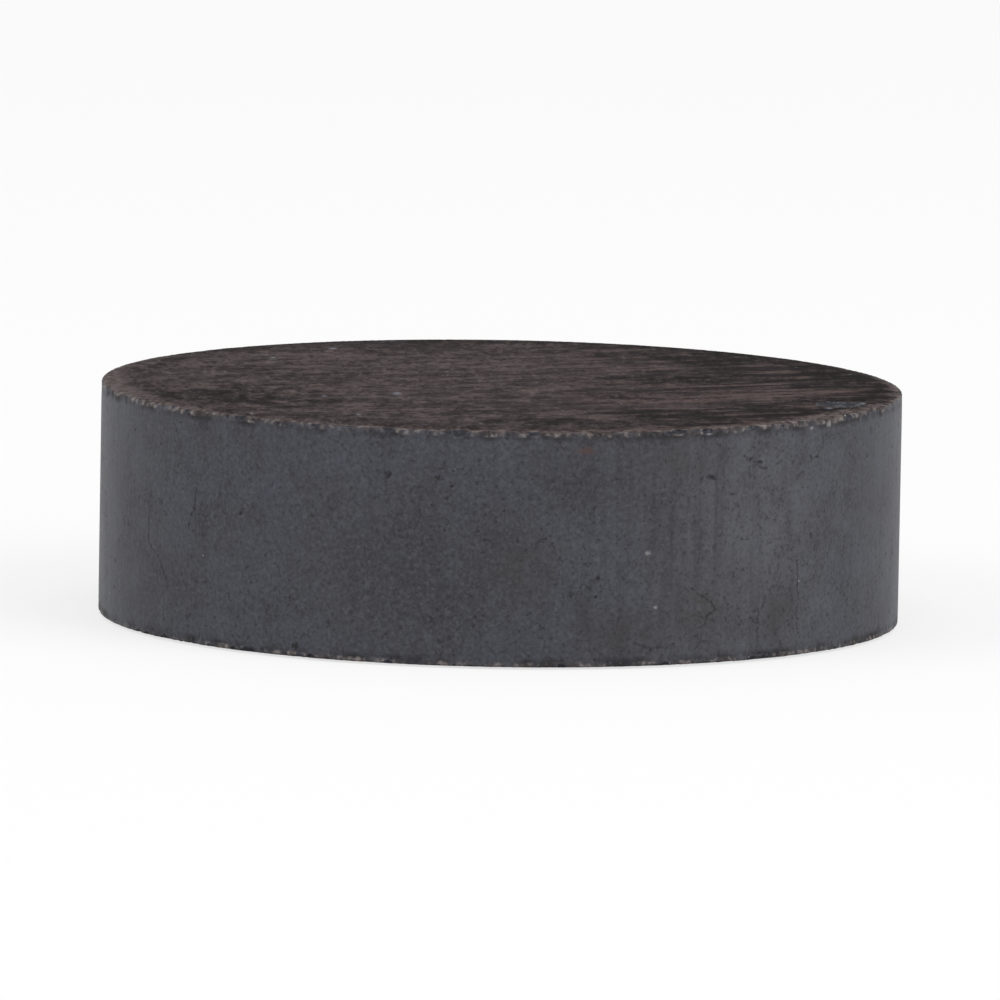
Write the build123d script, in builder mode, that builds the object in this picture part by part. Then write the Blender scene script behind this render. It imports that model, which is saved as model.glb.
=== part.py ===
from build123d import *
import math
import os

# A ferrite disc magnet, one piece of sintered black ceramic. The powder is pressed in a round
# die and fired, which leaves a plain straight wall. Both pole faces are then ground flat, and
# handling wears the rims over. The brittle rims lose small flakes where discs snap together.
# Lengths are in millimetres and angles in degrees. The origin is the centre of the lower pole
# face, with +Z up, and angles run from +X towards +Y, so that the front of the disc is at -90.

disc_diameter = 20.0  # as fired
disc_thickness = 5.9  # between the two ground pole faces

wear_width = 0.45  # a worn rim slopes off over this much of its pole face
wear_drop = 0.06  # and drops by this much on the way to the wall
wear_to_face_radius = 1.5  # the slope runs softly out of the face
wear_to_wall_radius = 0.06  # and turns down into the wall

flake_angle = -22.0  # the one large flake, lost from the upper face just inside its rim
flake_inset = 1.00  # from the wall to the middle of the flake
flake_span = 1.30
flake_depth = 0.13

# Nicks bitten out of a rim: where round the disc, how long along the rim, and how deep
upper_nicks = [
    (-130.0, 0.46, 0.06),
    (-106.0, 0.34, 0.05),
    (-96.0, 0.50, 0.10),
    (-64.0, 0.40, 0.06),
    (-31.0, 0.44, 0.06),
]
lower_nicks = [
    (-153.0, 0.40, 0.06),
    (-145.0, 0.60, 0.08),
    (-135.0, 0.38, 0.05),
    (-127.5, 0.70, 0.11),
    (-119.0, 0.36, 0.05),
    (-66.0, 0.50, 0.06),
    (-51.0, 0.64, 0.08),
]

disc_radius = disc_diameter / 2
wear_slope = math.atan2(wear_drop, wear_width)


def scoop_radius(span, depth):
    """The radius of the ball whose cap is span wide and depth deep, as a shell-shaped break is."""
    return ((span / 2) ** 2 + depth**2) / (2 * depth)


def round_the_disc(radius, angle, height):
    """A place at that distance from the disc's axis, that way round it and that high."""
    turn = math.radians(angle)
    return (radius * math.cos(turn), radius * math.sin(turn), height)


def nick_place(angle, span, depth, face_height, outward):
    """The middle of a nick's ball, out along the slant of 45 degrees from the round of the rim."""
    round_drop = wear_drop + wear_to_wall_radius * math.tan((math.pi / 2 - wear_slope) / 2)
    reach = wear_to_wall_radius + scoop_radius(span, depth) - depth
    radius = disc_radius - wear_to_wall_radius + reach / math.sqrt(2)
    return round_the_disc(
        radius, angle, face_height + outward * (reach / math.sqrt(2) - round_drop)
    )


with BuildPart() as disc_magnet:
    # Half the section: two ground faces, the fired wall, and the worn slope of each rim
    with BuildSketch(Plane.XZ) as section:
        with BuildLine() as outline:
            FilletPolyline(
                (0, 0),
                (disc_radius - wear_width, 0),
                (disc_radius, wear_drop),
                (disc_radius, disc_thickness - wear_drop),
                (disc_radius - wear_width, disc_thickness),
                (0, disc_thickness),
                radius=[
                    wear_to_face_radius,
                    wear_to_wall_radius,
                    wear_to_wall_radius,
                    wear_to_face_radius,
                ],
            )
            Line((0, disc_thickness), (0, 0))
        make_face()
    revolve(axis=Axis.Z)

    # The large flake: a shallow bowl whose ball stands over the upper face
    flake_ball = scoop_radius(flake_span, flake_depth)
    flake_height = disc_thickness + flake_ball - flake_depth
    with Locations(round_the_disc(disc_radius - flake_inset, flake_angle, flake_height)):
        Sphere(flake_ball, mode=Mode.SUBTRACT)

    # The nicks in the two rims
    for angle, span, depth in upper_nicks:
        with Locations(nick_place(angle, span, depth, disc_thickness, 1)):
            Sphere(scoop_radius(span, depth), mode=Mode.SUBTRACT)
    for angle, span, depth in lower_nicks:
        with Locations(nick_place(angle, span, depth, 0, -1)):
            Sphere(scoop_radius(span, depth), mode=Mode.SUBTRACT)

disc_magnet.part.label = "disc_magnet"

os.makedirs("parts", exist_ok=True)
export_step(disc_magnet.part, "parts/disc_magnet.step")
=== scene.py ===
import bmesh
import bpy
import math
from mathutils import Matrix, Vector


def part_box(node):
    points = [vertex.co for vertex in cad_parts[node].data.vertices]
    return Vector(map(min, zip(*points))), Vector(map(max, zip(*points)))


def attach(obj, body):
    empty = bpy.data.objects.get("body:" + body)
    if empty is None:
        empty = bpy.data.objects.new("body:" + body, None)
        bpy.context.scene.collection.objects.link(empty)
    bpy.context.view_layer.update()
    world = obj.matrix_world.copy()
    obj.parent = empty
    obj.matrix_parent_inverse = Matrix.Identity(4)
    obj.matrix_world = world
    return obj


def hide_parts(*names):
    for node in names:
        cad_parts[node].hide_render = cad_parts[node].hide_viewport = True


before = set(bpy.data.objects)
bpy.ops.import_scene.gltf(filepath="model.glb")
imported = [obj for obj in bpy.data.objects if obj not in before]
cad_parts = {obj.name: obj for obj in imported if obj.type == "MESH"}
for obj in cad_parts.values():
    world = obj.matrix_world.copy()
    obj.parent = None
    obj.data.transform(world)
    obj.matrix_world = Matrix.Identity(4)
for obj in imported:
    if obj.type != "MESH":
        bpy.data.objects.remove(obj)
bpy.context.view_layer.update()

# The ferrite disc
# One piece of black ceramic: powder pressed in a round die, fired hard, then ground flat on
# both pole faces. The wall keeps its fired skin. Handling has worn the rims over, and small
# flakes have broken out of them where discs snapped together.
MM = 0.001
low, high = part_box("disc_magnet")
disc_radius = round((high.x - low.x) / 2, 5)
disc_thickness = round(high.z - low.z, 5)

# The worn rim slopes off the pole face softly and then turns down into the wall
wear_width = 0.45 * MM
wear_drop = 0.06 * MM
wear_to_face_radius = 1.5 * MM
wear_to_wall_radius = 0.06 * MM
wear_slope = math.atan2(wear_drop, wear_width)


def bend(corner, radius, turn_from, turn_to, steps):
    """Points round an arc about a corner's middle, from one direction to the other in degrees."""
    points = []
    for step in range(steps + 1):
        turn = math.radians(turn_from + (turn_to - turn_from) * step / steps)
        points.append((corner[0] + radius * math.cos(turn), corner[1] + radius * math.sin(turn)))
    return points


def spread(start, end, steps):
    """Points that divide the way from start to end, without either of them."""
    return [
        tuple(a + (b - a) * step / steps for a, b in zip(start, end)) for step in range(1, steps)
    ]


# The upper half of the half section: out along the face, down the worn slope and round into
# the wall. Its points are (distance from the axis, depth below the face), and they lie closest
# together at the rim, which crumbles.
FACE_RINGS = [0.0, 3.0, 5.5, 7.5, 8.6, 9.1]
WALL_RINGS = [0.15, 0.19, 0.24, 0.30, 0.37, 0.46, 0.58, 0.80, 1.20, 1.80]
SOFT_STEPS = 4
SLOPE_STEPS = 9
ROUND_STEPS = 5
slope_degrees = math.degrees(wear_slope)
soft_reach = wear_to_face_radius * math.tan(wear_slope / 2)
round_drop = wear_drop + wear_to_wall_radius * math.tan((math.pi / 2 - wear_slope) / 2)
soft_middle = (disc_radius - wear_width - soft_reach, wear_to_face_radius)
round_middle = (disc_radius - wear_to_wall_radius, round_drop)
soft_arc = bend(soft_middle, wear_to_face_radius, -90, -90 + slope_degrees, SOFT_STEPS)
round_arc = bend(round_middle, wear_to_wall_radius, -90 + slope_degrees, 0, ROUND_STEPS)
upper_half = [(ring * MM, 0.0) for ring in FACE_RINGS]
upper_half += soft_arc
upper_half += spread(soft_arc[-1], round_arc[0], SLOPE_STEPS)
upper_half += round_arc
upper_half += [(disc_radius, ring * MM) for ring in WALL_RINGS]
middle_ring = [(disc_radius, disc_thickness / 2)]
lower_half = [(out, disc_thickness - down) for out, down in reversed(upper_half)]
half_section = upper_half + middle_ring + lower_half

# How worn each ring is: fully at the corner, and less and less towards the face and the wall
wear_reach_on_face = 0.75 * MM
wear_reach_on_wall = 0.45 * MM


def worn_at(out, down):
    """1 at the corner of a rim, and 0 where the face or the wall is untouched."""
    from_face = min(down, disc_thickness - down)
    across = 1 - (disc_radius - out) / wear_reach_on_face
    along = 1 - max(0.0, from_face - round_drop) / wear_reach_on_wall
    return max(0.0, min(across, along, 1.0))


# Turning a section stands its Y axis downwards and its X axis outwards from the path
section_mesh = bpy.data.meshes.new("half_section")
section_mesh.from_pydata(
    [(out - disc_radius, down - disc_thickness, 0.0) for out, down in half_section],
    [(ring, ring + 1) for ring in range(len(half_section) - 1)],
    [],
)
worn_values = section_mesh.attributes.new("worn", "FLOAT", "POINT")
face_values = section_mesh.attributes.new("face", "FLOAT", "POINT")
last_of_face = upper_half.index(round_arc[ROUND_STEPS // 2])
for ring, (out, down) in enumerate(half_section):
    worn_values.data[ring].value = worn_at(out, down)
    from_end = min(ring, len(half_section) - 1 - ring)
    face_values.data[ring].value = float(from_end <= last_of_face)
section = bpy.data.objects.new("half_section", section_mesh)
bpy.context.scene.collection.objects.link(section)

# The flakes that the rims have lost, as on the solid: where round the disc in degrees from the
# right towards the back, how long along the rim in millimetres, and how deep
large_flake = (-22.0, 1.30, 0.13)
large_flake_inset = 1.00 * MM
upper_nicks = [
    (-130.0, 0.46, 0.06),
    (-106.0, 0.34, 0.05),
    (-96.0, 0.50, 0.10),
    (-64.0, 0.40, 0.06),
    (-31.0, 0.44, 0.06),
]
lower_nicks = [
    (-153.0, 0.40, 0.06),
    (-145.0, 0.60, 0.08),
    (-135.0, 0.38, 0.05),
    (-127.5, 0.70, 0.11),
    (-119.0, 0.36, 0.05),
    (-66.0, 0.50, 0.06),
    (-51.0, 0.64, 0.08),
]


def scoop_radius(span, depth):
    """The radius of the ball whose cap is span wide and depth deep, as a shell-shaped break is."""
    return ((span / 2) ** 2 + depth**2) / (2 * depth)


def nick_ball(angle, span, depth, face_height, outward):
    """A nick's ball, out along the slant of 45 degrees from the round of the rim."""
    ball = scoop_radius(span * MM, depth * MM)
    reach = (wear_to_wall_radius + ball - depth * MM) / math.sqrt(2)
    radius = disc_radius - wear_to_wall_radius + reach
    turn = math.radians(angle)
    height = face_height + outward * (reach - round_drop)
    return (radius * math.cos(turn), radius * math.sin(turn), height), ball


flake_angle, flake_span, flake_depth = large_flake
flake_turn = math.radians(flake_angle)
flake_ball = scoop_radius(flake_span * MM, flake_depth * MM)
flake_out = disc_radius - large_flake_inset
flake_height = disc_thickness + flake_ball - flake_depth * MM
balls = [
    ((flake_out * math.cos(flake_turn), flake_out * math.sin(flake_turn), flake_height), flake_ball)
]
balls += [nick_ball(*nick, disc_thickness, 1) for nick in upper_nicks]
balls += [nick_ball(*nick, 0.0, -1) for nick in lower_nicks]
breaks_mesh = bpy.data.meshes.new("breaks")
breaks_mesh.from_pydata([place for place, ball in balls], [], [])
ball_values = breaks_mesh.attributes.new("ball", "FLOAT", "POINT")
for index, (place, ball) in enumerate(balls):
    ball_values.data[index].value = ball
breaks = bpy.data.objects.new("breaks", breaks_mesh)
bpy.context.scene.collection.objects.link(breaks)


def add_node(tree, kind, inputs=(), **settings):
    """A new node with its settings, whose inputs are given values or are linked to sockets."""
    made = tree.nodes.new(kind)
    for name, value in settings.items():
        setattr(made, name, value)
    for name, value in dict(inputs).items():
        if isinstance(value, bpy.types.NodeSocket):
            tree.links.new(value, made.inputs[name])
        else:
            made.inputs[name].default_value = value
    return made


def calc(tree, operation, *values):
    """The output of a Math node on these values or sockets."""
    return add_node(tree, "ShaderNodeMath", enumerate(values), operation=operation).outputs[0]


def vector_calc(tree, operation, *values, output=0):
    """The output of a Vector Math node on these values or sockets."""
    made = add_node(tree, "ShaderNodeVectorMath", enumerate(values), operation=operation)
    return made.outputs[output]


def scaled(tree, vector, factor):
    """The vector made that many times as long."""
    made = add_node(tree, "ShaderNodeVectorMath", {0: vector, "Scale": factor}, operation="SCALE")
    return made.outputs[0]


def axes_of(tree, vector):
    """The three numbers of a vector."""
    return add_node(tree, "ShaderNodeSeparateXYZ", {0: vector}).outputs


def ramp(tree, value, from_low, from_high, to_low=0.0, to_high=1.0):
    """The value carried from one range to another, and held at the ends."""
    ends = {0: value, 1: from_low, 2: from_high, 3: to_low, 4: to_high}
    return add_node(tree, "ShaderNodeMapRange", ends).outputs[0]


def from_noise(tree, value, to_low, to_high):
    """A noise carried to another range. Nearly all of a noise lies between 0.3 and 0.7."""
    return ramp(tree, value, 0.3, 0.7, to_low, to_high)


# The tree turns the half section round the axis, crumbles the worn rims, and bites the breaks
# out of them with uneven balls: the ones placed above, and small ones scattered round each rim
disc_tree = bpy.data.node_groups.new("Pressed disc with worn rims", "GeometryNodeTree")
DISC_INPUTS = {
    "Radius": ("NodeSocketFloat", disc_radius),
    "Thickness": ("NodeSocketFloat", disc_thickness),
    "Sectors": ("NodeSocketInt", 1120),
    "Crumb Size": ("NodeSocketFloat", 0.16 * MM),
    "Crumb Depth": ("NodeSocketFloat", 0.042 * MM),
    "Placed Breaks": ("NodeSocketObject", breaks),
    "Chips Per Rim": ("NodeSocketInt", 70),
    "Smallest Chip": ("NodeSocketFloat", 0.10 * MM),
    "Largest Chip": ("NodeSocketFloat", 0.38 * MM),
    "Seed": ("NodeSocketInt", 11),
    "Wall Finish": ("NodeSocketMaterial", None),
    "Face Finish": ("NodeSocketMaterial", None),
    "Break Finish": ("NodeSocketMaterial", None),
}
disc_tree.interface.new_socket("Half Section", in_out="INPUT", socket_type="NodeSocketGeometry")
for name, (kind, value) in DISC_INPUTS.items():
    disc_tree.interface.new_socket(name, in_out="INPUT", socket_type=kind)
disc_tree.interface.new_socket("Disc", in_out="OUTPUT", socket_type="NodeSocketGeometry")
given = add_node(disc_tree, "NodeGroupInput").outputs


def mesh_value(name):
    """The value that the mesh keeps under that name."""
    return add_node(disc_tree, "GeometryNodeInputNamedAttribute", {"Name": name}).outputs["Attribute"]


def with_value(geometry, name, value, domain="POINT"):
    """The geometry, which now keeps that value under that name."""
    made = add_node(
        disc_tree,
        "GeometryNodeStoreNamedAttribute",
        {"Geometry": geometry, "Name": name, "Value": value},
        data_type="FLOAT",
        domain=domain,
    )
    return made.outputs["Geometry"]


# Turned round its axis, from a circular path at the disc's own radius, and closed on the axis
CLOSING_DISTANCE = 0.001 * MM
path = add_node(
    disc_tree,
    "GeometryNodeCurvePrimitiveCircle",
    {"Resolution": given["Sectors"], "Radius": given["Radius"]},
)
profile = add_node(disc_tree, "GeometryNodeMeshToCurve", {"Mesh": given["Half Section"]})
turned = add_node(
    disc_tree,
    "GeometryNodeCurveToMesh",
    {"Curve": path.outputs["Curve"], "Profile Curve": profile.outputs["Curve"]},
)
blank = add_node(
    disc_tree,
    "GeometryNodeMergeByDistance",
    {"Geometry": turned.outputs["Mesh"], "Distance": CLOSING_DISTANCE},
)

# The worn rim crumbles: a fine grain all over it, and shallow bowls where crumbs came away,
# deeper along some stretches of the rim than along others
BOWL_REACH = 0.62
LOST_CRUMBS = (0.45, 0.95)
GRAINS_ACROSS_CRUMB = 1.6
GRAIN_SHARE = 0.45
STRETCH_LENGTH = 1.4 * MM
LEAST_WORN_STRETCH = 0.35
MOST_WORN_STRETCH = 1.2
crumb_scale = calc(disc_tree, "DIVIDE", 1.0, given["Crumb Size"])
crumb_cells = add_node(
    disc_tree, "ShaderNodeTexVoronoi", {"Scale": crumb_scale, "Randomness": 1.0}
).outputs
bowl = ramp(disc_tree, crumb_cells["Distance"], 0.0, BOWL_REACH, 1.0, 0.0)
crumb_lost = ramp(disc_tree, axes_of(disc_tree, crumb_cells["Color"])[0], *LOST_CRUMBS)
grain_scale = calc(disc_tree, "MULTIPLY", crumb_scale, GRAINS_ACROSS_CRUMB)
grain = add_node(
    disc_tree, "ShaderNodeTexNoise", {"Scale": grain_scale, "Detail": 2.0}
).outputs[0]
stretches = add_node(
    disc_tree, "ShaderNodeTexNoise", {"Scale": 1 / STRETCH_LENGTH, "Detail": 1.0}
).outputs[0]
grain_loss = from_noise(disc_tree, grain, 0.0, GRAIN_SHARE)
stretch_share = from_noise(disc_tree, stretches, LEAST_WORN_STRETCH, MOST_WORN_STRETCH)
loss = calc(disc_tree, "MULTIPLY_ADD", bowl, crumb_lost, grain_loss)
loss = calc(disc_tree, "MULTIPLY", loss, stretch_share)
full_loss = calc(disc_tree, "MULTIPLY", mesh_value("worn"), given["Crumb Depth"])
loss = calc(disc_tree, "MULTIPLY", loss, full_loss)
outwards = add_node(disc_tree, "GeometryNodeInputNormal").outputs[0]
inwards = scaled(disc_tree, scaled(disc_tree, outwards, loss), -1.0)
crumbled = add_node(
    disc_tree,
    "GeometryNodeSetPosition",
    {"Geometry": blank.outputs["Geometry"], "Offset": inwards},
)
crumbled = with_value(
    crumbled.outputs["Geometry"], "crumb", calc(disc_tree, "MULTIPLY", bowl, crumb_lost)
)

# Uneven balls, to be turned and sized for each break, so that no two breaks look alike
LUMPY_BALLS = 6
LUMPS_ACROSS = 5.0
BETWEEN_BALLS = 3.7
LEAST_SWELL = 0.94
MOST_SWELL = 1.03
WHOLE_TURN = 6.28


def uneven_balls(subdivisions):
    """Some lumpy balls of about unit radius, as instances to pick from."""
    gathered = add_node(disc_tree, "GeometryNodeGeometryToInstance")
    for number in range(LUMPY_BALLS):
        ball = add_node(
            disc_tree, "GeometryNodeMeshIcoSphere", {"Radius": 1.0, "Subdivisions": subdivisions}
        )
        swell = add_node(
            disc_tree,
            "ShaderNodeTexNoise",
            {"W": BETWEEN_BALLS * number, "Scale": LUMPS_ACROSS, "Detail": 3.0},
            noise_dimensions="4D",
        ).outputs[0]
        point = add_node(disc_tree, "GeometryNodeInputPosition").outputs[0]
        uneven = scaled(disc_tree, point, from_noise(disc_tree, swell, LEAST_SWELL, MOST_SWELL))
        ball = add_node(
            disc_tree,
            "GeometryNodeSetPosition",
            {"Geometry": ball.outputs["Mesh"], "Position": uneven},
        )
        ball = with_value(ball.outputs["Geometry"], "broken", 1.0, domain="FACE")
        disc_tree.links.new(ball, gathered.inputs[0])
    return gathered.outputs[0]


def draw(kind, least, most, salt):
    """A random draw for each point, steady for a seed. Each salt gives draws of its own."""
    first_input, output = {"FLOAT_VECTOR": (0, 0), "FLOAT": (2, 1), "INT": (4, 2)}[kind]
    seed = calc(disc_tree, "ADD", given["Seed"], float(salt))
    made = add_node(
        disc_tree,
        "FunctionNodeRandomValue",
        {first_input: least, first_input + 1: most, "Seed": seed},
        data_type=kind,
    )
    return made.outputs[output]


def bite(points, subdivisions, salt):
    """Uneven balls on these points, each turned its own way and as large as its point says."""
    made = add_node(
        disc_tree,
        "GeometryNodeInstanceOnPoints",
        {
            "Points": points,
            "Instance": uneven_balls(subdivisions),
            "Pick Instance": True,
            "Instance Index": draw("INT", 0, LUMPY_BALLS - 1, salt),
            "Rotation": draw("FLOAT_VECTOR", (0.0, 0.0, 0.0), (WHOLE_TURN,) * 3, salt + 1),
            "Scale": mesh_value("ball"),
        },
    )
    return made.outputs["Instances"]


# The placed breaks, and chips scattered round each rim at places of their own. Most chips are
# small, and each is a seventh as deep as it is long, so its ball is nearly as large as that.
CHIP_FLATNESS = 7.0
CHIP_BALL = round(scoop_radius(1.0, 1.0 / CHIP_FLATNESS), 3)
SMALL_CHIP_POWER = 2.2
LEAST_SLANT = math.radians(12)
MOST_SLANT = math.radians(75)
placed = add_node(disc_tree, "GeometryNodeObjectInfo", {"Object": given["Placed Breaks"]})
bites = [bite(placed.outputs["Geometry"], subdivisions=5, salt=50)]
for salt, on_upper_rim in ((10, True), (20, False)):
    chip_span = calc(disc_tree, "POWER", draw("FLOAT", 0.0, 1.0, salt), SMALL_CHIP_POWER)
    chip_span = ramp(disc_tree, chip_span, 0.0, 1.0, given["Smallest Chip"], given["Largest Chip"])
    chip_depth = calc(disc_tree, "DIVIDE", chip_span, CHIP_FLATNESS)
    chip_ball = calc(disc_tree, "MULTIPLY", chip_span, CHIP_BALL)
    turn = draw("FLOAT", 0.0, 2 * math.pi, salt + 1)
    slant = draw("FLOAT", LEAST_SLANT, MOST_SLANT, salt + 2)
    # out from the middle of the rim's round, and up from it
    reach = calc(disc_tree, "ADD", chip_ball, wear_to_wall_radius)
    reach = calc(disc_tree, "SUBTRACT", reach, chip_depth)
    round_out = calc(disc_tree, "SUBTRACT", given["Radius"], wear_to_wall_radius)
    out = calc(disc_tree, "MULTIPLY", reach, calc(disc_tree, "COSINE", slant))
    out = calc(disc_tree, "ADD", out, round_out)
    up = calc(disc_tree, "MULTIPLY", reach, calc(disc_tree, "SINE", slant))
    up = calc(disc_tree, "SUBTRACT", up, round_drop)
    if on_upper_rim:
        up = calc(disc_tree, "ADD", given["Thickness"], up)
    else:
        up = calc(disc_tree, "MULTIPLY", up, -1.0)
    to_right = calc(disc_tree, "MULTIPLY", out, calc(disc_tree, "COSINE", turn))
    to_back = calc(disc_tree, "MULTIPLY", out, calc(disc_tree, "SINE", turn))
    middle = add_node(disc_tree, "ShaderNodeCombineXYZ", {0: to_right, 1: to_back, 2: up})
    chips = add_node(
        disc_tree,
        "GeometryNodePoints",
        {"Count": given["Chips Per Rim"], "Position": middle.outputs[0]},
    )
    chips = with_value(chips.outputs[0], "ball", chip_ball)
    bites.append(bite(chips, subdivisions=4, salt=60 + salt))
bitten = add_node(
    disc_tree,
    "GeometryNodeMeshBoolean",
    {"Mesh 1": crumbled},
    operation="DIFFERENCE",
    solver="MANIFOLD",
)
for balls_of_a_kind in bites:
    disc_tree.links.new(balls_of_a_kind, bitten.inputs["Mesh 2"])

# Smooth all over, but for the edges where a break meets the skin
SHARP_FROM = math.radians(24)
whole = add_node(
    disc_tree, "GeometryNodeSetShadeSmooth", {"Geometry": bitten.outputs["Mesh"]}, domain="FACE"
)
edge_angle = add_node(disc_tree, "GeometryNodeInputMeshEdgeAngle").outputs["Unsigned Angle"]
whole = add_node(
    disc_tree,
    "GeometryNodeSetShadeSmooth",
    {
        "Geometry": whole.outputs["Geometry"],
        "Selection": calc(disc_tree, "GREATER_THAN", edge_angle, SHARP_FROM),
        "Shade Smooth": False,
    },
    domain="EDGE",
)
whole = add_node(
    disc_tree, "GeometryNodeRealizeInstances", {"Geometry": whole.outputs["Geometry"]}
).outputs["Geometry"]

# Wall, faces and breaks get their own finish. Faces and wall part halfway round the corner, and
# beside a break, whose corners are on neither, what looks straight up or down is face.
LEVEL_FROM = 0.9
is_broken = calc(disc_tree, "GREATER_THAN", mesh_value("broken"), 0.5)
looks_up = axes_of(disc_tree, add_node(disc_tree, "GeometryNodeInputNormal").outputs[0])["Z"]
looks_up = calc(disc_tree, "GREATER_THAN", calc(disc_tree, "ABSOLUTE", looks_up), LEVEL_FROM)
is_face = calc(disc_tree, "GREATER_THAN", mesh_value("face"), 0.9)
is_face = calc(disc_tree, "MAXIMUM", is_face, looks_up)
for finish, selection in (("Wall", True), ("Face", is_face), ("Break", is_broken)):
    whole = add_node(
        disc_tree,
        "GeometryNodeSetMaterial",
        {"Geometry": whole, "Selection": selection, "Material": given[finish + " Finish"]},
    ).outputs["Geometry"]
add_node(disc_tree, "NodeGroupOutput", {"Disc": whole})


def new_group(name, inputs, outputs):
    """A shader node group and the sockets of its inputs. One with no value takes a vector."""
    group = bpy.data.node_groups.new(name, "ShaderNodeTree")
    for label, value in inputs.items():
        kind = "NodeSocketVector" if value is None else "NodeSocketFloat"
        socket = group.interface.new_socket(label, in_out="INPUT", socket_type=kind)
        if value is not None:
            socket.default_value = value
    for label in outputs:
        group.interface.new_socket(label, in_out="OUTPUT", socket_type="NodeSocketFloat")
    return group, add_node(group, "NodeGroupInput").outputs


# What all three finishes share: a fine mottled grain, pores between the fired grains, which the
# finishes darken with painted shade, and single crystals, each of its own brightness, of which a few
# carry a painted glint
PORES_TO_GRAIN = 0.55
grain_group, put = new_group(
    "Sintered grain",
    {"Place": None, "Grain Size": 0.12, "Pore Share": 0.5, "Glint Share": 0.03},
    ("Grain", "Pores", "Crystals", "Glints"),
)
grain_scale = calc(grain_group, "DIVIDE", 1.0, put["Grain Size"])
fine_grain = add_node(
    grain_group,
    "ShaderNodeTexNoise",
    {"Vector": put["Place"], "Scale": grain_scale, "Detail": 3.0, "Roughness": 0.70},
).outputs[0]
pore_scale = calc(grain_group, "MULTIPLY", grain_scale, PORES_TO_GRAIN)
pore_noise = add_node(
    grain_group,
    "ShaderNodeTexNoise",
    {"Vector": put["Place"], "Scale": pore_scale, "Detail": 2.0, "Roughness": 0.7},
).outputs[0]
# a share of 1 opens pores wherever the noise is under 0.42, and a share of 0 nearly nowhere
PORE_SHARPNESS = 14.0
pore_edge = ramp(grain_group, put["Pore Share"], 0.0, 1.0, 0.20, 0.42)
pores = calc(grain_group, "SUBTRACT", pore_edge, pore_noise)
pores = ramp(grain_group, calc(grain_group, "MULTIPLY", pores, PORE_SHARPNESS), 0.0, 1.0)
cells = add_node(
    grain_group, "ShaderNodeTexVoronoi", {"Vector": put["Place"], "Scale": grain_scale}
).outputs
drawn = axes_of(grain_group, cells["Color"])
glints = calc(grain_group, "LESS_THAN", drawn[1], put["Glint Share"])
glints = calc(grain_group, "MULTIPLY", glints, ramp(grain_group, cells["Distance"], 0.42, 0.12))
add_node(
    grain_group,
    "NodeGroupOutput",
    {"Grain": fine_grain, "Pores": pores, "Crystals": drawn[0], "Glints": glints},
)

# The worn rims look alike on the wall and on the faces: at the corner the ceramic is bare and
# paler, with a light bead here and there, each a painted glint of a crumbled crystal, and painted
# shade darkens each hollow where a crumb came away
BARE_WANDER = 1.1
rim_group, put = new_group(
    "Worn rim",
    {"Place": None, "Worn": 0.0, "Crumb": 0.0, "Bead Size": 0.16, "Bare From": 0.70},
    ("Bare", "Shade", "Bead Glints", "Hollow Shade"),
)
uneven = add_node(
    rim_group,
    "ShaderNodeTexNoise",
    {"Vector": put["Place"], "Scale": 1.3, "Detail": 4.0, "Roughness": 0.65},
).outputs[0]
bead_scale = calc(rim_group, "DIVIDE", 1.0, put["Bead Size"])
bead_noise = add_node(
    rim_group,
    "ShaderNodeTexNoise",
    {"Vector": put["Place"], "Scale": bead_scale, "Detail": 2.0},
).outputs[0]
past = calc(rim_group, "SUBTRACT", put["Worn"], put["Bare From"])
swing = calc(rim_group, "SUBTRACT", uneven, 0.5)
past = calc(rim_group, "MULTIPLY_ADD", swing, BARE_WANDER, past)
bare = ramp(rim_group, past, -0.06, 0.20)
bead_glints = ramp(rim_group, put["Worn"], 0.80, 0.92)
bead_glints = calc(rim_group, "MULTIPLY", bead_glints, ramp(rim_group, bead_noise, 0.50, 0.70))
bead_glints = calc(rim_group, "MULTIPLY", bead_glints, ramp(rim_group, uneven, 0.40, 0.56, 0.25, 1.0))
hollow_shade = ramp(rim_group, calc(rim_group, "MULTIPLY", put["Worn"], put["Crumb"]), 0.18, 0.45)
add_node(
    rim_group,
    "NodeGroupOutput",
    {"Bare": bare, "Shade": bead_noise, "Bead Glints": bead_glints, "Hollow Shade": hollow_shade},
)

# A mark of its own place and size, such as a pit, a speck or a stain. Its outline is frayed by
# a noise that it is given, from -0.5 to 0.5.
FRAY_REACH = 3.0
mark_group, put = new_group(
    "Single mark",
    {"Place": None, "Middle": None, "Half Size": None, "Fray": 0.0, "Softness": 0.4},
    ("Mask",),
)
in_sizes = vector_calc(mark_group, "SUBTRACT", put["Place"], put["Middle"])
in_sizes = vector_calc(mark_group, "DIVIDE", in_sizes, put["Half Size"])
reach = vector_calc(mark_group, "LENGTH", in_sizes, output=1)
reach = calc(mark_group, "MULTIPLY_ADD", put["Fray"], FRAY_REACH, reach)
mask = ramp(mark_group, reach, 1.0, calc(mark_group, "SUBTRACT", 1.0, put["Softness"]))
add_node(mark_group, "NodeGroupOutput", {"Mask": mask})

# A hairline, from one place to another
line_group, put = new_group(
    "Hairline", {"Place": None, "From": None, "To": None, "Half Width": 0.03}, ("Mask",)
)
start = vector_calc(line_group, "SUBTRACT", put["Place"], put["From"])
whole_line = vector_calc(line_group, "SUBTRACT", put["To"], put["From"])
share = calc(
    line_group,
    "DIVIDE",
    vector_calc(line_group, "DOT_PRODUCT", start, whole_line, output=1),
    vector_calc(line_group, "DOT_PRODUCT", whole_line, whole_line, output=1),
)
nearest = scaled(line_group, whole_line, ramp(line_group, share, 0.0, 1.0))
away = vector_calc(line_group, "DISTANCE", start, nearest, output=1)
mask = ramp(line_group, calc(line_group, "DIVIDE", away, put["Half Width"]), 1.0, 0.3)
add_node(line_group, "NodeGroupOutput", {"Mask": mask})


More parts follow.
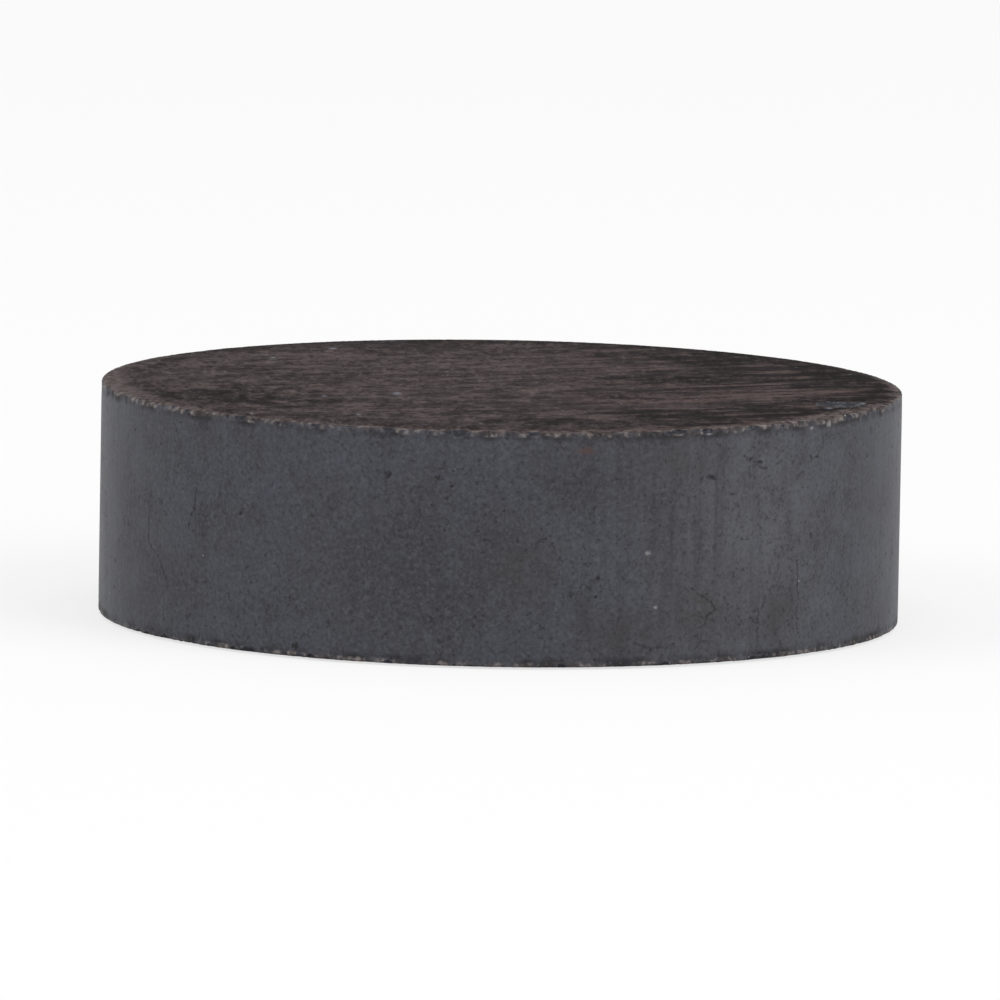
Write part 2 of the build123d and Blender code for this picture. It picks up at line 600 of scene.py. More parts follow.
def shade(red, green, blue):
    """A colour as it looks, from 0 to 255, in the linear light that a shader takes."""
    linear = []
    for level in (red / 255, green / 255, blue / 255):
        linear.append(level / 12.92 if level <= 0.04045 else ((level + 0.055) / 1.055) ** 2.4)
    return (*linear, 1.0)


def new_finish(name):
    """An empty material, its node tree, its shader, and the place on the disc in millimetres."""
    material = bpy.data.materials.new(name)
    material.use_nodes = True
    tree = material.node_tree
    tree.nodes.clear()
    shader = add_node(tree, "ShaderNodeBsdfPrincipled")
    add_node(tree, "ShaderNodeOutputMaterial", {"Surface": shader.outputs[0]})
    place = add_node(tree, "ShaderNodeTexCoord").outputs["Object"]
    return material, tree, shader, scaled(tree, place, 1 / MM)


def noise(tree, place, size, detail, roughness, stretch=(1.0, 1.0, 1.0), output=0):
    """A noise whose lumps are about that many millimetres across, longer where it is stretched."""
    place = vector_calc(tree, "DIVIDE", place, stretch)
    lumps = {"Vector": place, "Scale": 1 / size, "Detail": detail, "Roughness": roughness}
    return add_node(tree, "ShaderNodeTexNoise", lumps).outputs[output]


def sintered(tree, place, grain_size, pore_share, glint_share):
    """The outputs of the sintered grain for one finish."""
    values = {
        "Place": place,
        "Grain Size": grain_size,
        "Pore Share": pore_share,
        "Glint Share": glint_share,
    }
    return add_node(tree, "ShaderNodeGroup", values, node_tree=grain_group).outputs


def paint(tree, under, over, mask, strength=None):
    """The colour under, with the colour over on it where the mask says, to that strength."""
    if strength is not None:
        mask = calc(tree, "MULTIPLY", mask, strength)
    made = add_node(tree, "ShaderNodeMix", {0: mask, 6: under, 7: over}, data_type="RGBA")
    return made.outputs[2]


def wash(tree, colour, layers):
    """The colour under thin layers. Each has its own colour, what drives it, the level where it
    starts to show, the level where it is full, and its strength there."""
    for over, driver, start, full, strength in layers:
        colour = paint(tree, colour, over, ramp(tree, driver, start, full, 0.0, strength))
    return colour


def together(tree, masks):
    """The strongest of several masks at each place."""
    most = masks[0]
    for mask in masks[1:]:
        most = calc(tree, "MAXIMUM", most, mask)
    return most


def frayed(tree, value, share):
    """A noise brought to the range that frays a mark, from no fraying to a lot."""
    return calc(tree, "MULTIPLY", calc(tree, "SUBTRACT", value, 0.5), share)


def marks(tree, place, fray, places_and_sizes, softness):
    """The mask of some marks together, at these places and of these half sizes."""
    masks = []
    for middle, half_size in places_and_sizes:
        values = {
            "Place": place,
            "Middle": (*middle, 0.0),
            "Half Size": (*half_size, 1.0),
            "Fray": fray,
            "Softness": softness,
        }
        mark = add_node(tree, "ShaderNodeGroup", values, node_tree=mark_group)
        masks.append(mark.outputs["Mask"])
    return together(tree, masks)


def attribute(tree, name):
    """The value that the mesh keeps under that name, in a material."""
    made = add_node(tree, "ShaderNodeAttribute", attribute_name=name, attribute_type="GEOMETRY")
    return made.outputs["Fac"]


DARK_BARE = shade(58, 51, 51)
PALE_BARE = shade(106, 97, 95)
RIM_HOLLOW_SHADE = shade(40, 35, 36)
RIM_BEAD_GLINT = shade(144, 137, 133)


def worn_rim(tree, place, colour, bare_from):
    """The colour with the worn rim painted over it, bare from that degree of wear on, with painted
    glints on it and painted shade where crumbs came away.
    """
    values = {
        "Place": place,
        "Worn": attribute(tree, "worn"),
        "Crumb": attribute(tree, "crumb"),
        "Bare From": bare_from,
    }
    rim = add_node(tree, "ShaderNodeGroup", values, node_tree=rim_group).outputs
    bare_colour = paint(tree, DARK_BARE, PALE_BARE, ramp(tree, rim["Shade"], 0.34, 0.62))
    colour = paint(tree, colour, bare_colour, rim["Bare"], 0.85)
    # painted shade where crumbs came away
    colour = paint(tree, colour, RIM_HOLLOW_SHADE, rim["Hollow Shade"], 0.70)
    # painted glints on the rim's light crumbs
    return paint(tree, colour, RIM_BEAD_GLINT, rim["Bead Glints"], 0.62)


def bumpy(tree, shader, height, depth):
    """Small relief in the shader's normal, from a height, in millimetres for each unit of it."""
    relief = {"Strength": 1.0, "Distance": depth * MM, "Height": height}
    bump = add_node(tree, "ShaderNodeBump", relief)
    tree.links.new(bump.outputs["Normal"], shader.inputs["Normal"])


# The wall keeps its fired skin: cool grey and satin, clouded, finely speckled, with faint
# upright scuffs from the die, brown stains, and a few pits, hairlines and white specks. Places
# on it are in millimetres, round it from its front and up it from the lower face.
wall_finish, tree, shader, place = new_finish("fired_wall")
axes = axes_of(tree, place)
from_front = calc(tree, "ARCTAN2", axes["X"], calc(tree, "MULTIPLY", axes["Y"], -1.0))
from_front = calc(tree, "MULTIPLY", from_front, disc_radius / MM)
on_wall = add_node(tree, "ShaderNodeCombineXYZ", {0: from_front, 1: axes["Z"]}).outputs[0]
cloud = noise(tree, place, size=2.8, detail=2.0, roughness=0.5)
patch = noise(tree, place, size=0.80, detail=3.0, roughness=0.65)
scuff = noise(tree, place, size=0.24, detail=2.0, roughness=0.6, stretch=(1.0, 1.0, 16.0))
pore_share = ramp(tree, calc(tree, "ADD", cloud, patch), 0.8, 1.25, 0.55, 0.95)
skin = sintered(tree, place, grain_size=0.095, pore_share=pore_share, glint_share=0.0005)
grain = skin["Grain"]
soft_fray = frayed(tree, patch, 0.35)
smudge_fray = frayed(tree, patch, 0.7)
coarse_fray = frayed(tree, patch, 1.0)
fine_fray = frayed(tree, grain, 0.8)

# Clouds, cooler where the skin is light. Round the front of the disc the skin is darker, partly
# its own darker patch and partly painted shade, and right of it painted light makes it lighter.
DARK_SKIN_AND_SHADE = [((-0.9, 2.0), (3.6, 3.6)), ((1.7, 4.6), (2.0, 1.6))]
RIGHT_PAINTED_LIGHT = [((6.9, 3.1), (3.9, 5.0))]
LIGHT_GRAIN = shade(98, 100, 106)
colour = paint(tree, shade(65, 65, 70), shade(70, 71, 78), ramp(tree, cloud, 0.36, 0.64))
# painted shade round the front of the wall, partly the skin's own darker patch
dark_skin_and_shade = marks(tree, on_wall, soft_fray, DARK_SKIN_AND_SHADE, softness=0.95)
colour = paint(tree, colour, shade(54, 53, 56), dark_skin_and_shade, 0.60)
# painted light right of the front of the wall
right_painted_light = marks(tree, on_wall, soft_fray, RIGHT_PAINTED_LIGHT, softness=0.95)
colour = paint(tree, colour, shade(88, 88, 92), right_painted_light, 0.62)
skin_layers = [
    (shade(50, 48, 51), patch, 0.50, 0.78, 0.34),
    (shade(80, 84, 95), patch, 0.44, 0.24, 0.32),
    (shade(42, 41, 44), grain, 0.48, 0.24, 0.85),
    (LIGHT_GRAIN, grain, 0.54, 0.80, 0.50),
    (LIGHT_GRAIN, skin["Crystals"], 0.5, 1.0, 0.16),
]
colour = wash(tree, colour, skin_layers)

# The die scuffs are strongest right of the front
SCUFFED = [((5.4, 2.6), (4.0, 4.2))]
scuffed = marks(tree, on_wall, coarse_fray, SCUFFED, softness=0.9)
scuffed = ramp(tree, scuffed, 0.0, 1.0, 0.22, 1.0)
dark_scuff = calc(tree, "MULTIPLY", ramp(tree, scuff, 0.54, 0.68), scuffed)
colour = paint(tree, colour, shade(48, 46, 47), dark_scuff, 0.30)
light_scuff = calc(tree, "MULTIPLY", ramp(tree, scuff, 0.46, 0.34), scuffed)
colour = paint(tree, colour, shade(90, 92, 97), light_scuff, 0.24)

# Brown stains low on the right, and one small spot of rust under the upper rim
STAINS = [
    ((3.2, 0.9), (1.5, 0.9)),
    ((5.2, 1.5), (1.7, 1.3)),
    ((7.6, 1.2), (0.9, 1.1)),
    ((4.6, 5.1), (1.6, 0.7)),
    ((0.6, 2.6), (1.4, 1.3)),
]
RUST = [((2.12, 5.40), (0.34, 0.12))]
stains = marks(tree, on_wall, coarse_fray, STAINS, softness=0.8)
stains = calc(tree, "MULTIPLY", stains, ramp(tree, patch, 0.40, 0.62, 0.12, 0.58))
colour = paint(tree, colour, shade(60, 55, 49), stains)
rust = marks(tree, on_wall, fine_fray, RUST, softness=0.9)
colour = paint(tree, colour, shade(82, 62, 57), rust, 0.7)

# Dark smudges that run up and down, as the scuffs do
SMUDGES = [
    ((2.10, 1.60), (0.30, 1.00)),
    ((4.35, 3.90), (0.14, 1.60)),
    ((5.60, 3.40), (0.14, 1.90)),
    ((5.75, 5.25), (0.26, 0.36)),
    ((7.40, 1.00), (0.30, 0.80)),
    ((8.05, 1.50), (0.24, 0.90)),
    ((7.90, 3.20), (0.16, 0.90)),
    ((-8.20, 3.00), (0.40, 0.90)),
]
smudges = marks(tree, on_wall, smudge_fray, SMUDGES, softness=0.9)
colour = paint(tree, colour, shade(42, 39, 40), smudges, 0.30)

# Pits and hairlines, painted dark, each where it is on the real disc. A hairline is its half
# width and the corners that it runs through.
PITS = [
    ((-2.78, 4.70), (0.13, 0.10)),
    ((-1.53, 4.68), (0.09, 0.07)),
    ((-5.20, 0.33), (0.12, 0.09)),
    ((-1.20, 4.47), (0.07, 0.05)),
    ((5.45, 4.66), (0.16, 0.07)),
    ((6.90, 4.95), (0.14, 0.06)),
    ((2.45, 2.25), (0.07, 0.08)),
    ((2.40, 1.80), (0.06, 0.07)),
    ((-6.90, 3.45), (0.08, 0.06)),
    ((8.90, 4.95), (0.10, 0.05)),
]
HAIRLINES = [
    (0.05, [(-10.45, 3.10), (-10.40, 2.30), (-10.00, 2.10)]),
    (0.06, [(-10.00, 2.10), (-9.60, 1.45)]),
    (0.05, [(-8.40, 3.95), (-8.70, 2.90)]),
    (0.05, [(4.90, 1.95), (5.35, 1.70), (5.55, 1.40), (5.35, 1.10)]),
    (0.05, [(3.40, 0.66), (3.85, 0.44), (4.50, 0.60)]),
    (0.05, [(6.40, 5.15), (7.10, 4.80)]),
    (0.045, [(8.25, 2.40), (8.30, 0.60)]),
    (0.05, [(7.10, 1.60), (6.85, 0.70)]),
]
HAIRLINE_WANDER = (0.35, 0.35, 0.0)
pits = marks(tree, on_wall, fine_fray, PITS, softness=0.6)
wander = noise(tree, place, size=0.45, detail=1.0, roughness=0.5, output=1)
wander = vector_calc(tree, "SUBTRACT", wander, (0.5, 0.5, 0.5))
wander = vector_calc(tree, "MULTIPLY", wander, HAIRLINE_WANDER)
wandering = vector_calc(tree, "ADD", on_wall, wander)
hairlines = []
for half_width, corners in HAIRLINES:
    for start, end in zip(corners, corners[1:]):
        values = {
            "Place": wandering,
            "From": (*start, 0.0),
            "To": (*end, 0.0),
            "Half Width": half_width,
        }
        hairline = add_node(tree, "ShaderNodeGroup", values, node_tree=line_group)
        hairlines.append(hairline.outputs["Mask"])
in_grain = ramp(tree, grain, 0.62, 0.44, 0.1, 0.85)
hairlines = calc(tree, "MULTIPLY", together(tree, hairlines), in_grain)

# Where the skin is clouded it is crazed too, with short curling lines
crazing = noise(tree, place, size=0.55, detail=2.0, roughness=0.6)
crazing = calc(tree, "ABSOLUTE", calc(tree, "SUBTRACT", crazing, 0.5))
crazing = ramp(tree, crazing, 0.014, 0.003)
crazing = calc(tree, "MULTIPLY", crazing, ramp(tree, patch, 0.52, 0.62, 0.0, 0.5))
dark_pores = calc(tree, "MULTIPLY", skin["Pores"], 0.60)
sunk_and_shaded = together(tree, [pits, hairlines, crazing, dark_pores])
# pits and pores darkened with painted shade in their hollows, hairlines and crazing painted as dark
# lines
colour = paint(tree, colour, shade(36, 33, 34), sunk_and_shaded, 0.75)

# The dark, crumbled skin next to a rim, partly painted shadow under the rim's edge, the rim, and
# white specks where single crystals broke, with painted glints among them
WALL_BARE_FROM = 0.95
WALL_SPECKS = [
    ((3.73, 2.85), (0.10, 0.07)),
    ((3.95, 1.50), (0.07, 0.06)),
    ((5.35, 5.72), (0.10, 0.06)),
    ((9.40, 5.70), (0.12, 0.08)),
    ((8.70, 5.66), (0.08, 0.06)),
]
# the dark band next to a rim: crumbled skin, and painted shadow under the rim's edge
crumbled_skin_and_shadow = ramp(tree, attribute(tree, "worn"), 0.50, 0.80)
crumbled_skin_and_shadow = calc(tree, "MULTIPLY", crumbled_skin_and_shadow, ramp(tree, patch, 0.40, 0.60, 0.05, 0.8))
colour = paint(tree, colour, shade(40, 38, 40), crumbled_skin_and_shadow)
colour = worn_rim(tree, place, colour, WALL_BARE_FROM)
specks = calc(tree, "MULTIPLY", marks(tree, on_wall, fine_fray, WALL_SPECKS, softness=1.0), 0.40)
# glints painted white into the colour
specks = together(tree, [specks, calc(tree, "MULTIPLY", skin["Glints"], 0.35)])
colour = paint(tree, colour, shade(190, 188, 186), specks)
tree.links.new(colour, shader.inputs["Base Color"])
roughness = from_noise(tree, grain, 0.38, 0.52)
roughness = calc(tree, "MULTIPLY_ADD", together(tree, [sunk_and_shaded, crumbled_skin_and_shadow]), 0.2, roughness)
tree.links.new(roughness, shader.inputs["Roughness"])
shader.inputs["Specular IOR Level"].default_value = 0.08
hollow = together(tree, [pits, calc(tree, "MULTIPLY", skin["Pores"], 0.65)])
height = calc(tree, "MULTIPLY_ADD", hollow, -2.0, calc(tree, "MULTIPLY", grain, 0.9))
bumpy(tree, shader, calc(tree, "MULTIPLY_ADD", scuff, -0.8, height), depth=0.009)

# The pole faces are ground flat: brown black and matt, mottled, with the wheel's marks running
# one way, and grime that stays inside the rims. Places on them are in millimetres from the
# middle of the upper face, so that single marks stay off the lower one.
face_finish, tree, shader, place = new_finish("ground_face")
GRINDING_TURN = math.radians(24)
along = add_node(
    tree, "ShaderNodeMapping", {"Vector": place, "Rotation": (0.0, 0.0, -GRINDING_TURN)}
).outputs[0]
streaks = noise(tree, along, size=0.50, detail=3.0, roughness=0.65, stretch=(6.0, 1.0, 1.0))
wheel_lines = noise(tree, along, size=0.13, detail=2.0, roughness=0.6, stretch=(16.0, 1.0, 1.0))
smears = noise(tree, along, size=0.75, detail=3.0, roughness=0.70, stretch=(1.8, 1.0, 1.0))
mottle = noise(tree, place, size=0.9, detail=3.0, roughness=0.65)
broad = noise(tree, place, size=3.6, detail=2.0, roughness=0.5)
torn = noise(tree, place, size=0.20, detail=3.0, roughness=0.70, stretch=(1.0, 3.2, 1.0))
ground = sintered(tree, place, grain_size=0.15, pore_share=0.85, glint_share=0.004)
grain, pores = ground["Grain"], ground["Pores"]
coarse_fray = frayed(tree, mottle, 0.9)
fine_fray = frayed(tree, grain, 0.9)
axes = axes_of(tree, place)
on_top = vector_calc(tree, "SUBTRACT", place, (0.0, 0.0, disc_thickness / MM))
colour = paint(tree, shade(43, 37, 38), shade(80, 71, 72), ramp(tree, smears, 0.39, 0.61))
mottled_layers = [
    (shade(52, 46, 47), broad, 0.56, 0.40, 0.45),
    (shade(94, 81, 79), mottle, 0.51, 0.68, 0.55),
    (shade(33, 28, 28), mottle, 0.48, 0.32, 0.75),
]
colour = wash(tree, colour, mottled_layers)

# The streaks show most in a pale field across the middle
PALE_FIELD = [
    ((0.0, 3.4), (5.0, 3.0)),
    ((-1.2, -1.8), (4.2, 3.8)),
    ((-5.2, 4.6), (3.0, 2.4)),
    ((-8.4, 2.0), (1.5, 2.6)),
    ((-7.6, 5.0), (1.6, 1.6)),
]
DARK_STREAK = shade(34, 29, 29)
pale_field = marks(tree, on_top, coarse_fray, PALE_FIELD, softness=0.9)
streak_share = ramp(tree, pale_field, 0.0, 1.0, 0.20, 0.85)
light_streaks = calc(tree, "MULTIPLY", ramp(tree, streaks, 0.50, 0.70), streak_share)
colour = paint(tree, colour, shade(84, 75, 75), pale_field, 0.16)
colour = paint(tree, colour, shade(100, 89, 90), light_streaks, 0.50)
streak_layers = [
    (DARK_STREAK, streaks, 0.47, 0.30, 0.60),
    (shade(98, 89, 89), wheel_lines, 0.55, 0.70, 0.22),
    (DARK_STREAK, wheel_lines, 0.45, 0.30, 0.28),
]
colour = wash(tree, colour, streak_layers)

# Its grain is torn open all over, in dark and light flecks
LIGHT_FLECK = shade(110, 99, 98)
torn_layers = [
    (shade(29, 25, 26), torn, 0.47, 0.33, 0.70),
    (LIGHT_FLECK, torn, 0.54, 0.70, 0.50),
    (shade(30, 26, 26), grain, 0.46, 0.26, 0.55),
    (LIGHT_FLECK, grain, 0.55, 0.80, 0.40),
]
colour = wash(tree, colour, torn_layers)

# It is darker towards the front and the right, and its streaks stand out more on the right
FRONT_SHADE = [((2.4, -4.6), (6.4, 4.4)), ((-3.6, 7.4), (5.0, 1.8))]
RIGHT_PALE = [((3.8, -2.9), (2.4, 1.3)), ((6.3, -1.9), (2.4, 1.2)), ((8.9, 4.4), (0.7, 1.3))]
RIGHT_SIDE = (0.5, 7.0)
right_side = ramp(tree, axes["X"], *RIGHT_SIDE)
front_shade = marks(tree, on_top, coarse_fray, FRONT_SHADE, softness=0.9)
front_shade = calc(tree, "MULTIPLY", front_shade, 0.36)
right_shade = calc(tree, "MULTIPLY", right_side, 0.42)
colour = paint(tree, colour, shade(34, 29, 30), together(tree, [front_shade, right_shade]))
dark_streaks = ramp(tree, streaks, 0.52, 0.43, 0.0, 0.80)
colour = paint(tree, colour, shade(24, 20, 21), right_side, dark_streaks)
warm_streaks = ramp(tree, streaks, 0.52, 0.62, 0.0, 0.70)
colour = paint(tree, colour, shade(94, 80, 77), right_side, warm_streaks)
right_pale = marks(tree, on_top, coarse_fray, RIGHT_PALE, softness=0.7)
torn_pale = ramp(tree, torn, 0.40, 0.60, 0.12, 0.62)
colour = paint(tree, colour, shade(92, 79, 76), right_pale, torn_pale)

# Grime inside the rim: a broken dark ring, thicker towards the back and the right, and along the
# back partly painted shade. Its edges are distances from the axis, from where it starts or stops to
# where it is full.
RING_INNER_EDGE = (8.4, 9.15)
RING_OUTER_EDGE = (9.78, 9.42)
INNER_WOBBLE = 1.6
OUTER_WOBBLE = 0.9
TO_BACK_RIGHT = (1.0, 6.0)
TO_RIGHT = (2.0, 6.0)
flat_place = vector_calc(tree, "MULTIPLY", place, (1.0, 1.0, 0.0))
from_axis = vector_calc(tree, "LENGTH", flat_place, output=1)
inner_edge = calc(tree, "ADD", frayed(tree, broad, INNER_WOBBLE), from_axis)
outer_edge = calc(tree, "ADD", frayed(tree, mottle, OUTER_WOBBLE), from_axis)
ring = ramp(tree, inner_edge, *RING_INNER_EDGE)
ring = calc(tree, "MULTIPLY", ring, ramp(tree, outer_edge, *RING_OUTER_EDGE))
to_back_right = calc(tree, "ADD", axes["X"], axes["Y"])
ring_share = ramp(tree, mottle, 0.40, 0.60, 0.10, 0.75)
ring_share = calc(tree, "ADD", ring_share, ramp(tree, to_back_right, *TO_BACK_RIGHT, 0.0, 0.30))
ring_share = calc(tree, "ADD", ring_share, ramp(tree, axes["X"], *TO_RIGHT, 0.0, 0.45))
ring_share = calc(tree, "MINIMUM", ring_share, 1.0)
ring_share = calc(tree, "MULTIPLY", ring_share, ramp(tree, torn, 0.42, 0.62, 1.0, 0.50))
ring = calc(tree, "MULTIPLY", ring, ring_share)

# It lies thick in the darkest places of the face, and a painted shadow lies on the far side of the
# large flake, where its far lip shades it
DARKEST = [
    ((4.3, 1.4), (1.8, 1.20)),
    ((6.6, 2.2), (2.2, 1.30)),
    ((8.1, 2.4), (1.4, 3.2)),
    ((4.8, -6.3), (2.6, 1.40)),
    ((7.0, -4.7), (1.9, 1.30)),
    ((2.0, -8.0), (3.2, 0.90)),
    ((3.0, -2.9), (1.3, 0.40)),
    ((-6.6, -3.8), (2.6, 2.20)),
    ((6.0, 6.4), (3.4, 1.60)),
]
FLAKE_SHADOW = [((8.25, -2.35), (0.90, 0.50)), ((7.55, -2.85), (0.50, 0.50))]
darkest = marks(tree, on_top, coarse_fray, DARKEST, softness=0.50)
darkest = calc(tree, "MULTIPLY", darkest, ramp(tree, torn, 0.36, 0.62, 1.0, 0.35))
# the ring's grime, partly painted shade along the back, and the grime of the darkest places
colour = paint(tree, colour, shade(20, 16, 17), together(tree, [ring, darkest]), 0.92)
# painted shadow behind the large flake's far lip
flake_shadow = marks(tree, on_top, fine_fray, FLAKE_SHADOW, softness=0.35)
torn_flake_shadow = ramp(tree, torn, 0.40, 0.62, 0.92, 0.45)
colour = paint(tree, colour, shade(13, 10, 11), flake_shadow, torn_flake_shadow)
# the pores darkened with painted shade
colour = paint(tree, colour, shade(27, 23, 24), pores, 0.7)

# On the left the face is pale and rubbed next to the rim
RUBBED_EDGE = (9.15, 9.55)
TO_LEFT = (-7.6, -8.8)
rubbed = ramp(tree, outer_edge, *RUBBED_EDGE)
rubbed = calc(tree, "MULTIPLY", rubbed, ramp(tree, axes["X"], *TO_LEFT))
torn_rubbed = ramp(tree, torn, 0.35, 0.60, 0.20, 0.60)
colour = paint(tree, colour, shade(96, 87, 85), rubbed, torn_rubbed)

# Round the back a last dark line of painted shade runs beside the worn rim
BACK_SHADE_EDGE = (9.25, 9.55)
TO_BACK = (0.5, 3.0)
back_shade_line = ramp(tree, outer_edge, *BACK_SHADE_EDGE)
back_shade_line = calc(tree, "MULTIPLY", back_shade_line, ramp(tree, axes["Y"], *TO_BACK))
torn_line = ramp(tree, torn, 0.42, 0.60, 0.85, 0.30)
colour = paint(tree, colour, shade(32, 27, 28), back_shade_line, torn_line)

# The rim is bare over its whole worn width on the left and right of the front, and a few
# crystals stand out on the face, with painted glints among them
BARE_WIDE = [((7.8, -5.4), (2.2, 2.8)), ((-9.2, -0.6), (1.3, 3.6))]
FACE_BARE_FROM = 0.66
WIDE_BARE_FROM = 0.34
FACE_SPECKS = [
    ((-3.5, -7.3), (0.09, 0.25)),
    ((-4.3, 6.9), (0.15, 0.30)),
    ((-4.4, -3.5), (0.08, 0.20)),
    ((-5.8, 4.7), (0.10, 0.24)),
    ((-2.6, -2.7), (0.14, 0.42)),
    ((8.10, -4.20), (0.14, 0.26)),
    ((8.95, -3.05), (0.12, 0.28)),
]
bare_wide = marks(tree, on_top, coarse_fray, BARE_WIDE, softness=0.6)
bare_from = ramp(tree, bare_wide, 0.0, 1.0, FACE_BARE_FROM, WIDE_BARE_FROM)
colour = worn_rim(tree, place, colour, bare_from)
specks = marks(tree, on_top, fine_fray, FACE_SPECKS, softness=0.6)
specks = calc(tree, "MULTIPLY", specks, ramp(tree, grain, 0.42, 0.56, 0.12, 0.42))
# glints painted pale into the colour
specks = together(tree, [specks, calc(tree, "MULTIPLY", ground["Glints"], 0.40)])
colour = paint(tree, colour, shade(168, 174, 186), specks)
tree.links.new(colour, shader.inputs["Base Color"])
tree.links.new(from_noise(tree, grain, 0.95, 0.82), shader.inputs["Roughness"])
shader.inputs["Specular IOR Level"].default_value = 0.03
height = calc(tree, "MULTIPLY_ADD", streaks, 1.4, grain)
bumpy(tree, shader, calc(tree, "SUBTRACT", height, pores), depth=0.010)

# A break shows the inside of the ceramic: a dark blue grey, rippled like a shell, with more
# crystals, whose glints are painted white, and pores darkened with painted shade
break_finish, tree, shader, place = new_finish("fresh_break")
inside = sintered(tree, place, grain_size=0.08, pore_share=0.6, glint_share=0.05)
facets = noise(tree, place, size=0.16, detail=2.0, roughness=0.6)
colour = paint(tree, shade(24, 24, 28), shade(46, 48, 55), ramp(tree, facets, 0.35, 0.65))
colour = wash(tree, colour, [(shade(88, 89, 96), inside["Crystals"], 0.7, 1.0, 0.40)])
# painted shade in the pores
colour = paint(tree, colour, shade(32, 30, 32), inside["Pores"], 0.6)
# painted glints
colour = paint(tree, colour, shade(200, 197, 194), inside["Glints"], 0.8)
tree.links.new(colour, shader.inputs["Base Color"])
tree.links.new(from_noise(tree, inside["Grain"], 0.42, 0.60), shader.inputs["Roughness"])
shader.inputs["Specular IOR Level"].default_value = 0.15
height = calc(tree, "MULTIPLY_ADD", facets, 2.0, calc(tree, "MULTIPLY", inside["Grain"], 0.6))
bumpy(tree, shader, height, depth=0.014)

# The tree's values go in by each socket's identifier, and its result becomes a plain mesh
disc_values = {name: value for name, (kind, value) in DISC_INPUTS.items()}
disc_values["Wall Finish"] = wall_finish
disc_values["Face Finish"] = face_finish
disc_values["Break Finish"] = break_finish
turning = section.modifiers.new("turned", "NODES")
turning.node_group = disc_tree
for socket in disc_tree.interface.items_tree:
    if socket.in_out == "INPUT" and socket.name in disc_values:
        turning[socket.identifier] = disc_values[socket.name]
evaluated = section.evaluated_get(bpy.context.evaluated_depsgraph_get())
disc_mesh = bpy.data.meshes.new_from_object(evaluated)
disc_mesh.name = "ferrite_disc"
disc_mesh.materials.pop(index=0)
bpy.data.objects.remove(section)
bpy.data.objects.remove(breaks)

# A corner that lies between two faces only is taken out, because both faces could otherwise be
# divided across it into two triangles that lie back to back
shape = bmesh.new()
shape.from_mesh(disc_mesh)
between = [corner for corner in shape.verts if len(corner.link_edges) == 2]
bmesh.ops.dissolve_verts(shape, verts=between)
shape.to_mesh(disc_mesh)
shape.free()
ferrite_disc = bpy.data.objects.new("ferrite_disc", disc_mesh)
bpy.context.scene.collection.objects.link(ferrite_disc)
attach(ferrite_disc, "root")
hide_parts("disc_magnet")

# The floor
# One flat white sheet, wide enough that no view reaches its edge. What the camera sees of it is
# lifted towards white, and the disc's own shadow stays.
FLOOR_REACH = 6.0
PAPER_WHITE = (0.92, 0.92, 0.92, 1.0)
PURE_WHITE = (1.0, 1.0, 1.0, 1.0)
LIFT = 0.7
floor_mesh = bpy.data.meshes.new("floor")
floor_mesh.from_pydata(
    [(x * FLOOR_REACH, y * FLOOR_REACH, low.z) for x, y in ((-1, -1), (1, -1), (1, 1), (-1, 1))],
    [],
    [(0, 1, 2, 3)],
)
floor = bpy.data.objects.new("floor", floor_mesh)
bpy.context.scene.collection.objects.link(floor)
paper = bpy.data.materials.new("white_paper")
paper.use_nodes = True
tree = paper.node_tree
tree.nodes.clear()
matt = add_node(tree, "ShaderNodeBsdfDiffuse", {"Color": PAPER_WHITE})
lit = add_node(tree, "ShaderNodeEmission", {"Color": PURE_WHITE, "Strength": 1.0})
ray = add_node(tree, "ShaderNodeLightPath").outputs
seen = calc(tree, "MAXIMUM", ray["Is Camera Ray"], ray["Is Glossy Ray"])
lifted = calc(tree, "MULTIPLY", seen, LIFT)
both = add_node(tree, "ShaderNodeMixShader", {0: lifted, 1: matt.outputs[0], 2: lit.outputs[0]})
add_node(tree, "ShaderNodeOutputMaterial", {"Surface": both.outputs[0]})
floor_mesh.materials.append(paper)

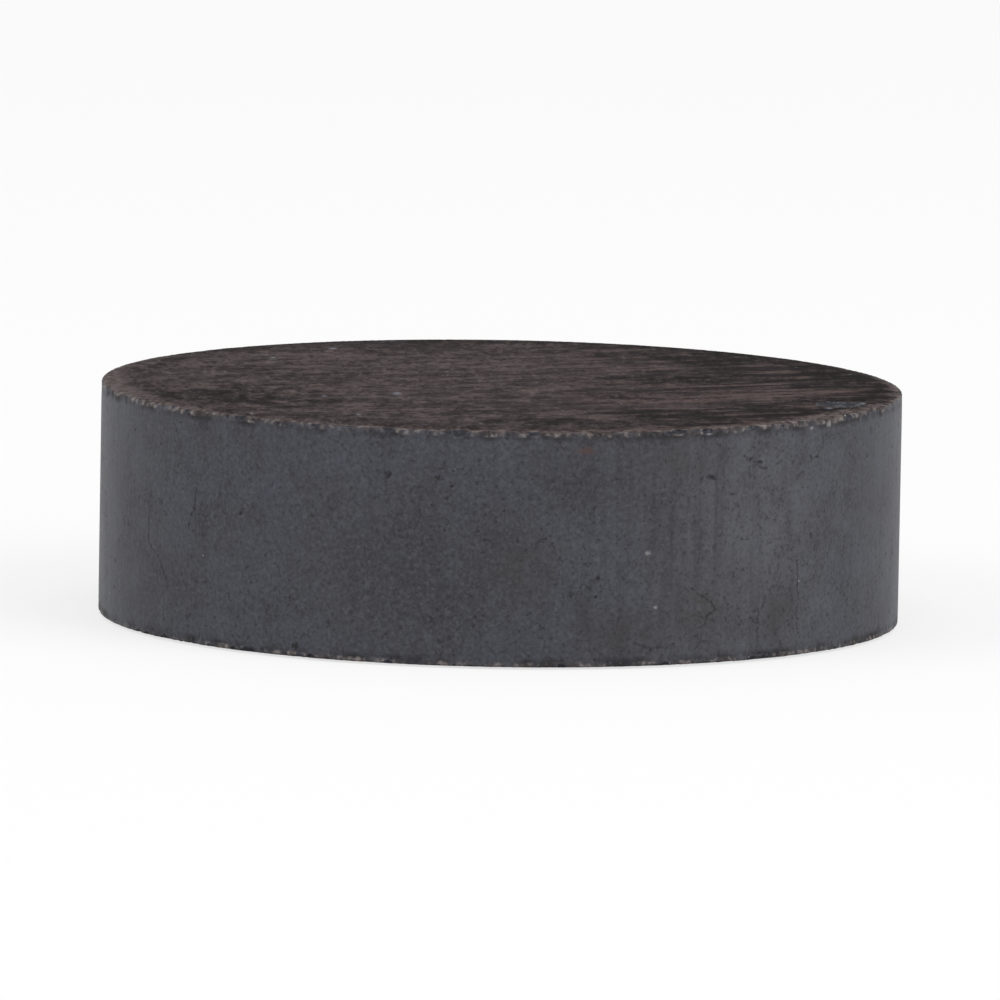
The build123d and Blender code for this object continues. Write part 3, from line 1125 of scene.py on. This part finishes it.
# The light
# White all round, a large soft box on each side, the right one nearer and stronger, so that
# the middle of the wall stays a little darker than its sides, and a third box overhead.
ROOM_LEVEL = 0.55
world = bpy.data.worlds.new("white_room")
bpy.context.scene.world = world
world.use_nodes = True
tree = world.node_tree
tree.nodes.clear()
ray = add_node(tree, "ShaderNodeLightPath").outputs
seen = calc(tree, "MAXIMUM", ray["Is Camera Ray"], ray["Is Glossy Ray"])
strength = ramp(tree, seen, 0.0, 1.0, ROOM_LEVEL, 1.0)
room = add_node(tree, "ShaderNodeBackground", {"Color": PURE_WHITE, "Strength": strength})
add_node(tree, "ShaderNodeOutputWorld", {"Surface": room.outputs[0]})
disc_middle = Vector((0.0, 0.0, disc_thickness / 2))


def soft_box(name, azimuth, elevation, distance, size, power):
    """A square soft box that looks at the disc. Azimuth 0 is the front, and 90 the right."""
    lamp = bpy.data.lights.new(name, "AREA")
    lamp.shape = "SQUARE"
    lamp.size = size
    lamp.energy = power
    box = bpy.data.objects.new(name, lamp)
    turn, rise = math.radians(azimuth), math.radians(elevation)
    away = Vector((math.sin(turn) * math.cos(rise), -math.cos(turn) * math.cos(rise), math.sin(rise)))
    box.location = disc_middle + away * distance
    box.rotation_euler = away.to_track_quat("Z", "Y").to_euler()
    bpy.context.scene.collection.objects.link(box)


soft_box("left_box", azimuth=-62, elevation=28, distance=0.70, size=0.45, power=1.5)
soft_box("right_box", azimuth=55, elevation=30, distance=0.60, size=0.45, power=1.7)
soft_box("top_box", azimuth=10, elevation=78, distance=0.80, size=0.50, power=1.2)

# The camera
# A long lens at the photograph's viewing angle: about seven degrees above the disc's middle,
# 21.5 diameters away, and turned by a degree, as the disc leans in the photograph. The disc
# is framed by itself, so it fills most of the width.
CAMERA_ELEVATION = math.radians(7.0)
CAMERA_DISTANCE = 21.5 * 2 * disc_radius
CAMERA_ROLL = math.radians(1.0)
SHARE_OF_WIDTH = 0.80
SENSOR = 36.0
frame_width = 2 * disc_radius / SHARE_OF_WIDTH
camera_data = bpy.data.cameras.new("camera")
camera_data.sensor_width = SENSOR
camera_data.lens = SENSOR * CAMERA_DISTANCE / frame_width
camera_data.clip_start = 0.01
camera_data.clip_end = 20.0
camera = bpy.data.objects.new("camera", camera_data)
back = Vector((0.0, -math.cos(CAMERA_ELEVATION), math.sin(CAMERA_ELEVATION)))
camera.location = disc_middle + back * CAMERA_DISTANCE
looking = back.to_track_quat("Z", "Y").to_matrix() @ Matrix.Rotation(CAMERA_ROLL, 3, "Z")
camera.rotation_euler = looking.to_euler()
bpy.context.scene.collection.objects.link(camera)
bpy.context.scene.camera = camera
bpy.context.scene.view_settings.view_transform = "Standard"
